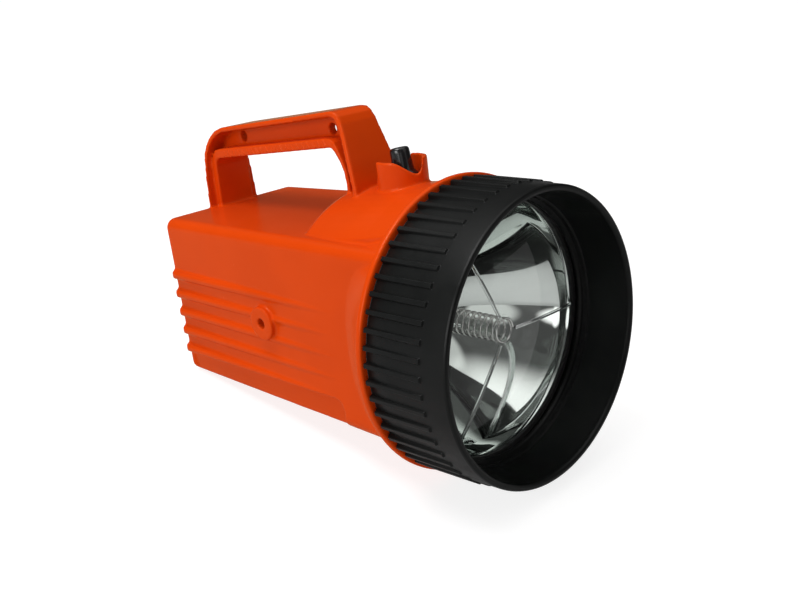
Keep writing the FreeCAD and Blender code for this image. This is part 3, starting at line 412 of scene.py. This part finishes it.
# ------------------------------------------------------------------ housing
def housing():
    """CAD housing fused into one skin by a voxel remesh and relaxed."""
    mesh = NODES["housing"].data.copy()
    mesh.materials.clear()
    obj = add_object("housing_shell", mesh)
    bm = bmesh.new()
    bm.from_mesh(mesh)
    bmesh.ops.remove_doubles(bm, verts=bm.verts, dist=3e-6)
    bm.to_mesh(mesh)
    bm.free()
    remesh = obj.modifiers.new("merge", "REMESH")
    remesh.mode = "VOXEL"
    remesh.voxel_size = 0.00052
    remesh.use_smooth_shade = True
    relax = obj.modifiers.new("relax", "SMOOTH")
    relax.factor = 0.5
    relax.iterations = 7
    depsgraph = bpy.context.evaluated_depsgraph_get()
    baked = bpy.data.meshes.new_from_object(obj.evaluated_get(depsgraph))
    obj.modifiers.clear()
    obj.data = baked
    bpy.data.meshes.remove(mesh)
    baked.shade_smooth()
    set_material(obj, ORANGE)
    register(obj, "housing", replaces="housing")


# ------------------------------------------------------------------ bezel ring
SKIN_FRONT, SKIN_BEND, SKIN_BACK = (11.0, 60.33), (33.0, 60.35), (40.0, 59.5)
# setback, radius, corner rounding: forward along the bore, round the front rim, then outside
BEZEL_CORNERS = [
    (40.3, 57.75, 0.25), (28.9, 57.75, 0.2), (28.9, 56.3, 0.15), (24.4, 56.3, 0.15),
    (24.4, 53.2, 0.15), (23.7, 53.1, 0.2), (22.6, 53.7, 0.25), (22.3, 55.0, 0.25),
    (20.4, 55.1, 0.2), (20.1, 55.9, 0.25), (19.2, 56.0, 0.25), (1.2, 57.0, 0.5),
    (0.35, 57.45, 0.3), (0.0, 58.3, 0.3),
    (0.0, 59.1, 0.3), (0.3, 59.75, 0.3), (1.0, 60.0, 0.4), (6.0, 60.15, 0.0),
    (*SKIN_FRONT, 0.0), (*SKIN_BACK, 0.0), (40.3, 59.2, 0.0)]
# setbacks across the ribbed span, dense where each rib starts and ends
RIB_STATIONS = [11.35, 11.5, 11.58, 11.66, 11.78, 11.95, 12.2, 12.6, 14.0, 18.0, 23.0, 28.0,
                33.0, 37.5, 39.3, 39.6, 39.8, 39.95, 40.1]
# distances either side of a rib's centre line, round the ring
RIB_FLANK = [0.55, 0.78, 0.93, 1.02, 1.1, 1.22, 1.4, 1.7]
RIB_COUNT = 56
RIB_PITCH_RADIUS = 60.8                         # where distances round the ring are measured
RIB_CREST, RIB_FOOT = 0.80, 1.42                # half widths
RIB_TOP_FRONT, RIB_TOP_BACK = (11.6, 61.1), (40.2, 61.7)    # setback, radius of the crest
RIB_START, RIB_RISE = 11.45, 0.55               # setback where a rib starts, length of its rise
RIB_END, RIB_FALL = 40.3, 0.45                  # setback where it ends, length of its fall
OUTSIDE = 58.8                                  # the ribbed skin lies beyond this radius


def bezel_skin(setback):
    """Radius between the ribs."""
    if setback > SKIN_BEND[0]:
        return line(setback, SKIN_BEND, SKIN_BACK)
    return line(setback, SKIN_FRONT, SKIN_BEND)


def bezel():
    """Grip ring with lengthwise ribs round its outside."""
    outline = round_corners(BEZEL_CORNERS, steps=3)
    skin = [(s, bezel_skin(s)) for s in RIB_STATIONS]
    profile = outline[:-2] + skin + outline[-2:]

    cell = 2 * math.pi / RIB_COUNT
    half = cell * RIB_PITCH_RADIUS / 2
    offsets = [-half * 0.98, -half * 0.7, -half * 0.5, *(-d for d in reversed(RIB_FLANK)),
               0.0, *RIB_FLANK, half * 0.5, half * 0.7]
    angles = np.array([(k + 0.5) * cell + d / RIB_PITCH_RADIUS
                       for k in range(RIB_COUNT) for d in offsets])
    distance = np.abs(np.array(offsets * RIB_COUNT))
    across = smoothstep(1.0 - np.clip((distance - RIB_CREST) / (RIB_FOOT - RIB_CREST), 0, 1))
    rings = []
    for setback, radius in profile:
        if radius > OUTSIDE:
            rise = min(1.0, max(0.0, (setback - RIB_START) / RIB_RISE))
            fall = min(1.0, max(0.0, (RIB_END - setback) / RIB_FALL))
            top = line(setback, RIB_TOP_FRONT, RIB_TOP_BACK)
            radius = radius + (top - radius) * across * smoothstep(rise * fall)
        rings.append(axis_ring(setback, radius, angles))
    obj = make_object("bezel_grip_ring", np.concatenate(rings),
                      grid_faces(len(profile), len(angles)), BLACK, sharp=38)
    register(obj, "bezel", replaces="bezel_ring")


# ------------------------------------------------------------------ reflector
FOCAL_LENGTH = 16.0
APEX_SETBACK = 73.6
NECK_SETBACK, NECK_INNER, NECK_OUTER = 83.6, 7.9, 10.6
BOWL_BACK_OFFSET = 1.5, 0.6         # setback and radius from the mirror face to the back face
BOWL_BACK_END = 12.4                # mirror radius where the back face stops
# setback, radius: flange and lip round the bowl's mouth
REFLECTOR_RIM = [
    (31.9, 51.45), (30.1, 52.2), (29.1, 52.62), (28.5, 53.0), (28.5, 55.6), (28.65, 55.8),
    (29.35, 55.8), (29.5, 55.6), (29.5, 53.5), (30.2, 53.2), (32.4, 52.6)]


def parabola(radius):
    return APEX_SETBACK - radius * radius / (4 * FOCAL_LENGTH)


def reflector():
    """Parabolic bowl with a straight neck at the back."""
    deeper, wider = BOWL_BACK_OFFSET
    face = [(parabola(r), r) for r in np.linspace(NECK_INNER, 50.5, 64)]
    back = [(parabola(r) + deeper, r + wider) for r in np.linspace(50.0, BOWL_BACK_END, 40)]
    neck = [(parabola(BOWL_BACK_END) + deeper + 1.0, NECK_OUTER), (NECK_SETBACK, NECK_OUTER),
            (NECK_SETBACK, NECK_INNER)]
    obj = lathe("reflector_bowl", face + REFLECTOR_RIM + back + neck, 288, CHROME)
    register(obj, "lens_stack", replaces="reflector")


# ------------------------------------------------------------------ lens
DOME_EDGE = 24.45                   # setback of the front face at the edge of the dome
DOME_RISE = 5.2                     # how far the middle stands forward of the edge
DOME_RADIUS = 52.0
LENS_THICKNESS = 2.6
# setback, radius: outer flange
LENS_FLANGE = [(DOME_EDGE, 53.0), (DOME_EDGE, 55.6), (24.6, 55.85), (24.85, 56.0),
               (27.2, 56.0), (27.4, 55.8), (27.4, 52.6), (27.2, 52.1)]
# setback, radius: small collar round the middle of the back face
LENS_COLLAR = [(22.2, 6.65), (23.4, 6.5), (23.6, 6.35), (23.6, 5.95), (23.4, 5.8)]
LENS_RIB_ANGLES = (114.0, -6.0, 234.0)          # degrees from +X towards +Z
LENS_RIB_SINK = 0.05                            # foot of each rib inside the back face
# sideways, height of the rib's section
LENS_RIB_SECTION = [(-0.75, 0.0), (-0.62, 0.55), (-0.4, 1.0), (-0.15, 1.25),
                    (0.15, 1.25), (0.4, 1.0), (0.62, 0.55), (0.75, 0.0)]
# distance from the axis, share of the full height
LENS_RIB_STATIONS = [
    (6.3, 1.0), (7.2, 1.0), (9.0, 1.0), (13, 1.0), (18, 1.0), (24, 1.0), (30, 1.0),
    (36, 1.0), (42, 1.0), (47, 1.0), (50.0, 0.9), (51.3, 0.6), (52.0, 0.2)]


def dome(radius):
    return DOME_EDGE - DOME_RISE * (1.0 - min(1.0, radius / DOME_RADIUS) ** 2)


def lens_back(radius):
    return dome(radius) + LENS_THICKNESS


def lens():
    """Domed disc with an edge flange."""
    profile = [(dome(r), r) for r in np.linspace(0.0, DOME_RADIUS, 40)]
    profile += LENS_FLANGE
    profile += [(lens_back(r), r) for r in np.linspace(51.4, 6.9, 34)]
    profile += LENS_COLLAR
    profile += [(lens_back(5.6), 5.7)]
    profile += [(lens_back(r), r) for r in np.linspace(5.0, 0.0, 6)]
    obj = lathe("lens_disc", profile, 224, LENS)
    register(obj, "lens_stack", replaces="lens")


def lens_ribs():
    """Radial ribs on the back of the lens."""
    verts, faces = [], []
    foot = LENS_THICKNESS - LENS_RIB_SINK
    for degrees in LENS_RIB_ANGLES:
        cos, sin = math.cos(math.radians(degrees)), math.sin(math.radians(degrees))
        faces += grid_faces(len(LENS_RIB_STATIONS), len(LENS_RIB_SECTION),
                            first=len(verts), closed=False)
        for out, share in LENS_RIB_STATIONS:
            for side, height in LENS_RIB_SECTION:
                verts.append(place(cos * out - sin * side, dome(out) + foot + height * share,
                                   sin * out + cos * side))
    obj = make_object("lens_ribs", verts, faces, LENS_RIB, sharp=40)
    register(obj, "lens_stack")


# ------------------------------------------------------------------ ejector spring
COIL_RADIUS, COIL_WIRE_RADIUS = 5.0, 0.46
COIL_PITCH = 3.2
COIL_END_PITCH = COIL_WIRE_RADIUS * 2.1         # one closed turn at each end
COIL_FRONT, COIL_BACK = 22.4, 68.4
COIL_STEPS = 36                                 # path points per turn


def round_bar(name, path, radius, sides, material):
    """Round bar along a path that starts roughly along Z, its frame carried without twist."""
    last = len(path) - 1
    tangents = [path[min(i + 1, last)] - path[max(i - 1, 0)] for i in range(len(path))]
    tangents = [t / np.linalg.norm(t) for t in tangents]
    normal = np.cross(tangents[0], np.array([1.0, 0, 0]))
    normal /= np.linalg.norm(normal)
    verts = []
    for point, tangent in zip(path, tangents):
        normal = normal - (normal @ tangent) * tangent
        normal /= np.linalg.norm(normal)
        binormal = np.cross(tangent, normal)
        for k in range(sides):
            a = 2 * math.pi * k / sides
            verts.append(point + radius * (math.cos(a) * normal + math.sin(a) * binormal))
    faces = grid_faces(len(path), sides, closed=False)
    return make_object(name, verts, faces, material, sharp=50)


def ejector_spring():
    """Coil about the beam axis."""
    live = (COIL_BACK - COIL_FRONT - 2 * COIL_END_PITCH) / COIL_PITCH
    total = live + 2
    count = int(total * COIL_STEPS)
    points = []
    for i in range(count + 1):
        turn = total * i / count
        if turn < 1:
            advance = COIL_END_PITCH * turn
        elif turn < 1 + live:
            advance = COIL_END_PITCH + COIL_PITCH * (turn - 1)
        else:
            advance = COIL_END_PITCH + COIL_PITCH * live + COIL_END_PITCH * (turn - 1 - live)
        angle = 2 * math.pi * turn
        points.append(place(COIL_RADIUS * math.cos(angle), COIL_FRONT + advance,
                            COIL_RADIUS * math.sin(angle)))
    path = np.array([list(p) for p in points])
    for _ in range(6):      # ease the change of pitch
        path[1:-1, 1] = (path[:-2, 1] + path[2:, 1]) / 2
    obj = round_bar("ejector_coil", path, COIL_WIRE_RADIUS * MM, sides=12, material=STEEL)
    register(obj, "lens_stack", replaces="ejector_spring")


# ------------------------------------------------------------------ toggle boot
BOOT_LEAN = math.radians(-8.0)      # about X: the tip leans back
BOOT_SEAT = place(0, 69.3, 57.3)
BOOT_SEGMENTS = 72
# radius, height above the seat: up the outside, then down the inside
BOOT_PROFILE = [
    (6.7, 2.3), (6.64, 2.75), (6.5, 3.25), (6.28, 3.75), (5.98, 4.22), (5.65, 4.66),
    (5.28, 5.07), (5.0, 5.38), (4.83, 5.72), (4.66, 6.15), (4.55, 6.65), (4.48, 7.35),
    (4.42, 8.2), (4.35, 9.8), (4.28, 11.6), (4.22, 13.4), (4.16, 14.4), (4.04, 14.95),
    (3.75, 15.4), (3.25, 15.68), (2.4, 15.82), (1.2, 15.88), (0, 15.9),
    (0, 14.35), (0.95, 14.3), (1.9, 13.9), (2.28, 13.05), (1.5, 4.25), (3.2, 5.1),
    (4.5, 4.2), (5.2, 3.2), (5.7, 2.3)]


def toggle_boot():
    """Hollow rubber boot with a flared foot."""
    angles = np.linspace(0, 2 * math.pi, BOOT_SEGMENTS, endpoint=False)
    verts = [(r * math.cos(a) * MM, r * math.sin(a) * MM, h * MM)
             for r, h in BOOT_PROFILE for a in angles]
    faces = grid_faces(len(BOOT_PROFILE), BOOT_SEGMENTS)
    obj = make_object("toggle_boot_skin", verts, faces, BOOT, sharp=55)
    obj.data.transform(Matrix.Translation(BOOT_SEAT) @ Matrix.Rotation(BOOT_LEAN, 4, "X"))
    register(obj, "toggle", replaces="toggle_boot")


# ------------------------------------------------------------------ grip ridges
RIDGE_COUNT, RIDGE_FIRST, RIDGE_PITCH = 21, 107.0, 3.9
RIDGE_X = 10.0                                  # side face of the flange
RIDGE_WIDTH, RIDGE_HEIGHT, RIDGE_SINK = 1.3 * MM, 0.42 * MM, 0.12 * MM
RIDGE_HALF_RUN = 1.1                            # setback either side of the ridge's middle
RIDGE_BOTTOM, RIDGE_TOP = 0.4, 3.5              # heights above the flange line
FLANGE_FRONT, FLANGE_BACK = (104.6, 73.6), (190.4, 66.3)    # setback, height
RIDGE_SIDES = 6
# share of the length, share of the full section
RIDGE_STATIONS = [(0.0, 0.15), (0.08, 0.75), (0.2, 1.0), (0.8, 1.0), (0.92, 0.75), (1.0, 0.15)]


def add_ridge(verts, faces, start, end, out):
    """Low half-round ridge from start to end standing along out."""
    side = (end - start).normalized().cross(out).normalized()
    arc = [(math.cos(math.pi * k / RIDGE_SIDES), math.sin(math.pi * k / RIDGE_SIDES))
           for k in range(RIDGE_SIDES + 1)]
    faces += grid_faces(len(RIDGE_STATIONS), len(arc), first=len(verts), closed=False)
    for along, share in RIDGE_STATIONS:
        centre = start.lerp(end, along)
        for x, y in arc:
            verts.append(centre + side * (x * RIDGE_WIDTH / 2 * (0.55 + 0.45 * share))
                         + out * (y * RIDGE_HEIGHT * share - RIDGE_SINK))


def grip_ridges():
    """Slanted ridges on both sides of the handle's lower flange."""
    verts, faces = [], []
    for k in range(RIDGE_COUNT):
        setback = RIDGE_FIRST + RIDGE_PITCH * k
        height = line(setback, FLANGE_FRONT, FLANGE_BACK)
        for side in (-1, 1):
            add_ridge(verts, faces,
                      place(side * RIDGE_X, setback - RIDGE_HALF_RUN, height + RIDGE_BOTTOM),
                      place(side * RIDGE_X, setback + RIDGE_HALF_RUN, height + RIDGE_TOP),
                      Vector((side, 0, 0)))
    obj = make_object("grip_ridges", verts, faces, ORANGE, sharp=60)
    register(obj, "housing")


def finish_cad_nodes():
    for name, material in CAD_FINISH.items():
        if name in NODES:       # the frame may lack a node
            set_material(NODES[name], material)
            NODES[name].data.shade_smooth()
            NODES[name].data.set_sharp_from_angle(angle=math.radians(32))


# ------------------------------------------------------------------ floor
FLOOR_RADIUS = 3.0
FLOOR_SEGMENTS, FLOOR_RINGS = 48, 14
FLOOR_SPACING = 1.6                             # power that crowds the rings to the middle
FLOOR_SLOPE = math.atan2(23.6, 159.0)           # rise over run
FLOOR_CENTRE = Vector((0, 66 * MM, -0.00005))


def floor_material():
    """Pale glowing floor, brighter to the camera, dimmer in reflections, clear from below."""
    material, g = new_material("floor_pale")
    pale = g.mottle((0.34, 0.34, 0.34), (0.33, 0.33, 0.33), scale=9.0, band=(0.35, 0.65),
                    detail=3.0)
    diffuse = g.node("ShaderNodeBsdfDiffuse", {0: pale})
    glow, camera_gain, glossy_loss = 0.36, 0.44, 0.18
    rays = g.node("ShaderNodeLightPath").outputs
    strength = g.math("ADD", glow, g.math("MULTIPLY", rays["Is Camera Ray"], camera_gain))
    strength = g.math("SUBTRACT", strength,
                      g.math("MULTIPLY", rays["Is Glossy Ray"], glossy_loss))
    emission = g.node("ShaderNodeEmission", {"Color": (1, 1, 1), "Strength": strength})
    lit = g.node("ShaderNodeAddShader", {0: diffuse.outputs[0], 1: emission.outputs[0]})
    clear = g.node("ShaderNodeBsdfTransparent")
    below = g.node("ShaderNodeNewGeometry").outputs["Backfacing"]
    g.finish(g.mix_shader(below, lit.outputs[0], clear.outputs[0]))
    return material


def floor():
    """Tilted disc of concentric rings."""
    bm = bmesh.new()
    centre = bm.verts.new((0, 0, 0))
    inner = None
    for step in range(1, FLOOR_RINGS + 1):
        radius = FLOOR_RADIUS * (step / FLOOR_RINGS) ** FLOOR_SPACING
        angles = [2 * math.pi * k / FLOOR_SEGMENTS for k in range(FLOOR_SEGMENTS)]
        ring = [bm.verts.new((radius * math.cos(a), radius * math.sin(a), 0)) for a in angles]
        for k in range(FLOOR_SEGMENTS):
            after = (k + 1) % FLOOR_SEGMENTS
            if inner is None:
                bm.faces.new((centre, ring[k], ring[after]))
            else:
                bm.faces.new((inner[k], ring[k], ring[after], inner[after]))
        inner = ring
    mesh = bpy.data.meshes.new("floor")
    bm.to_mesh(mesh)
    bm.free()
    obj = add_object("floor", mesh)
    obj.matrix_world = Matrix.Translation(FLOOR_CENTRE) @ Matrix.Rotation(FLOOR_SLOPE, 4, "X")
    set_material(obj, floor_material())


# ------------------------------------------------------------------ studio
# Soft round panels of light: direction, dot product at the edge and at full light, strength
PANELS = [
    ((0.05, -0.12, 1.0), (0.70, 0.985), 1.25),
    ((0.1, 0.5, 0.9), (0.90, 0.97), 0.35),
    ((-0.95, -0.42, 0.07), (0.984, 0.994), 1.6),
    ((-0.62, -0.78, 0.0), (0.965, 0.985), 0.6),
    ((-0.9, 0.45, 0.35), (0.86, 0.96), 0.35),
    ((0.35, -1.0, 0.55), (0.92, 0.96), 0.5)]
AMBIENT, GLOSSY_LOSS = 0.20, 0.13               # even light, and how much reflections lose


def world():
    """Panels over an even ambient light; the camera sees plain white."""
    SCENE.world = bpy.data.worlds.new("studio")
    g = Graph(SCENE.world, "ShaderNodeOutputWorld", "Generated")
    total = None
    for direction, edges, strength in PANELS:
        facing = g.node("ShaderNodeVectorMath",
                        {0: g.coords, 1: Vector(direction).normalized()},
                        operation="DOT_PRODUCT").outputs["Value"]
        panel = g.remap(facing, source=edges, to=(0.0, strength), smooth=True)
        total = panel if total is None else g.math("ADD", total, panel)
    glossy = g.node("ShaderNodeLightPath").outputs["Is Glossy Ray"]
    ambient = g.math("SUBTRACT", AMBIENT, g.math("MULTIPLY", glossy, GLOSSY_LOSS))
    total = g.math("ADD", total, ambient)
    light = g.node("ShaderNodeBackground", {"Color": (1.0, 0.995, 0.985), "Strength": total})
    seen = g.node("ShaderNodeBackground", {"Color": (1, 1, 1), "Strength": 1.0})
    camera_ray = g.node("ShaderNodeLightPath").outputs["Is Camera Ray"]
    g.finish(g.mix_shader(camera_ray, light.outputs[0], seen.outputs[0]))


def area_light(name, location, power, target=(0, 0, 0.03), size=(0.5, 0.4)):
    light = bpy.data.lights.new(name, "AREA")
    light.energy = power
    light.shape = "RECTANGLE"
    light.size, light.size_y = size
    obj = add_object(name, light)
    obj.location = location
    obj.rotation_mode = "QUATERNION"
    aim = Vector(target) - Vector(location)
    obj.rotation_quaternion = aim.to_track_quat("-Z", "Y")


def camera():
    """Camera in front of the lantern, on its -X side, looking down a little."""
    azimuth, elevation, roll = (math.radians(a) for a in (-42.898, 17.749, -6.902))
    back = Vector((math.sin(azimuth) * math.cos(elevation),
                   -math.cos(azimuth) * math.cos(elevation), math.sin(elevation)))
    level = Vector((0, 0, 1)).cross(back).normalized()
    upright = back.cross(level)
    right = level * math.cos(roll) + upright * math.sin(roll)
    up = upright * math.cos(roll) - level * math.sin(roll)
    data = bpy.data.cameras.new("camera")
    data.sensor_fit = "HORIZONTAL"
    data.sensor_width = 36.0
    data.lens = 41.4518148
    data.clip_start, data.clip_end = 0.01, 20.0
    obj = add_object("camera", data)
    pose = Matrix((right, up, back)).transposed().to_4x4()
    pose.translation = (-0.2666, -0.3397, 0.1685)
    obj.matrix_world = pose
    SCENE.camera = obj


def view_settings():
    view = SCENE.view_settings
    view.view_transform = "Standard"
    view.look = "None"
    view.exposure = 0.0
    view.gamma = 1.0


# ------------------------------------------------------------------ build
housing()
bezel()
reflector()
lens()
lens_ribs()
ejector_spring()
toggle_boot()
grip_ridges()
finish_cad_nodes()
floor()
world()
area_light("key_top", location=(-0.35, 0.10, 0.95), power=5.0)
area_light("fill_left", location=(-1.0, -0.10, 0.42), power=4.0)
camera()
view_settings()
